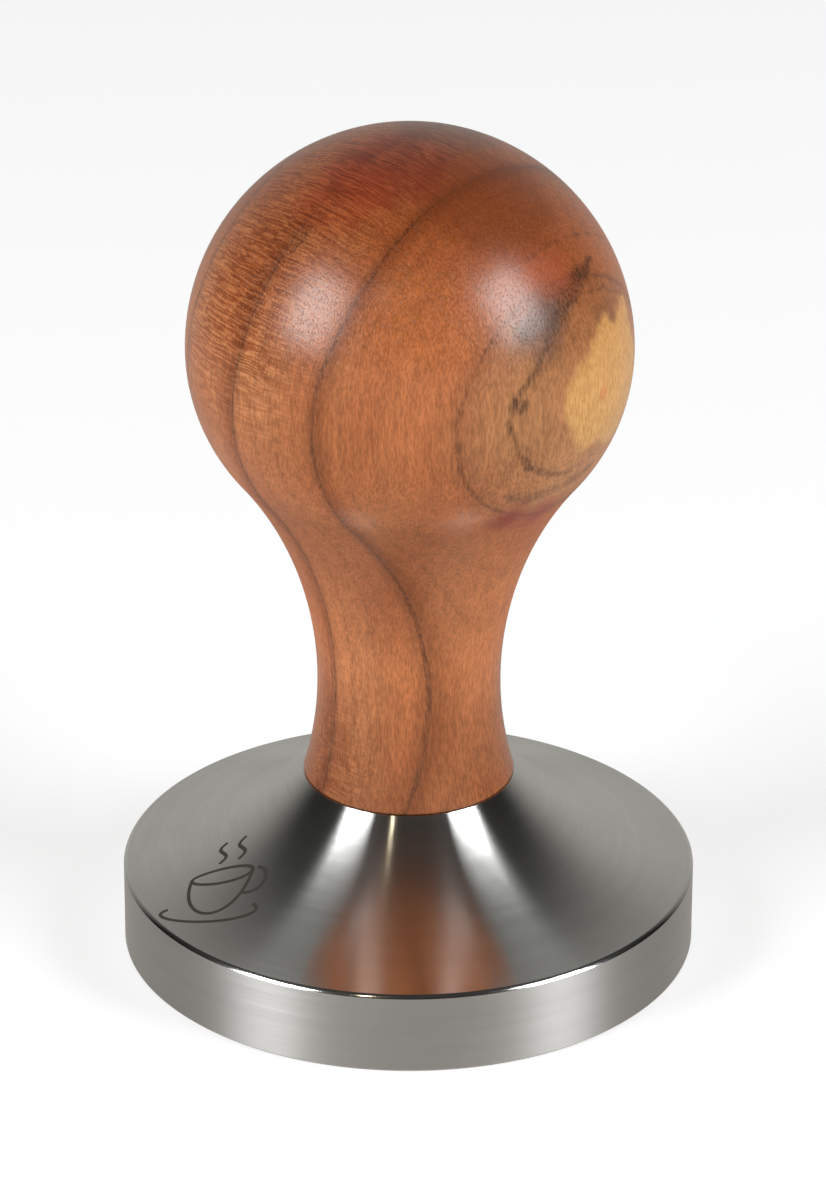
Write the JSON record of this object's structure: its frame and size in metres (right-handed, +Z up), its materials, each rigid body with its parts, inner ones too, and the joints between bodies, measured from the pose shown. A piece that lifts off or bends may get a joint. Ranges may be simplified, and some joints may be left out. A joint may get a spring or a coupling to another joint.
{
  "type": "espresso tamper",
  "caption": "Hand tamper for an espresso basket: a turned wooden knob handle screwed to a heavy flat-faced steel base with a flared top.",
  "frame": {"origin": "centre of the flat tamping face, the underside of the steel base", "axes": "+Z up the turning axis, from the tamping face to the crown of the knob; X and Y are any two directions across it"},
  "size_m": [0.058, 0.058, 0.0871],
  "materials": {
    "turned_steel": "fine turned stainless steel, lines round the axis, polished edge",
    "stud_steel": "plain stainless steel thread",
    "brass": "machined brass",
    "wood": "oiled and polished orange-brown fruitwood, satin"
  },
  "bodies": {
    "base": {"tamper_base": "turned_steel"},
    "stud": {"threaded_stud": "stud_steel"},
    "handle": {"wooden_handle": "wood", "threaded_insert": "brass"}
  },
  "joints": [
    {"name": "stud_lift", "type": "slide", "parent": "base", "child": "stud", "axis": [0, 0, 1], "range_m": [0, 0.0113]},
    {"name": "handle_turn", "type": "hinge", "parent": "stud", "child": "handle", "pos_m": [0, 0, 0.0187], "axis": [0, 0, 1], "range_deg": [0, 3240]}
  ],
  "couplings": [
    {"joint": "stud_lift", "follows": "handle_turn", "m_per_rad": 0.00019894}
  ]
}
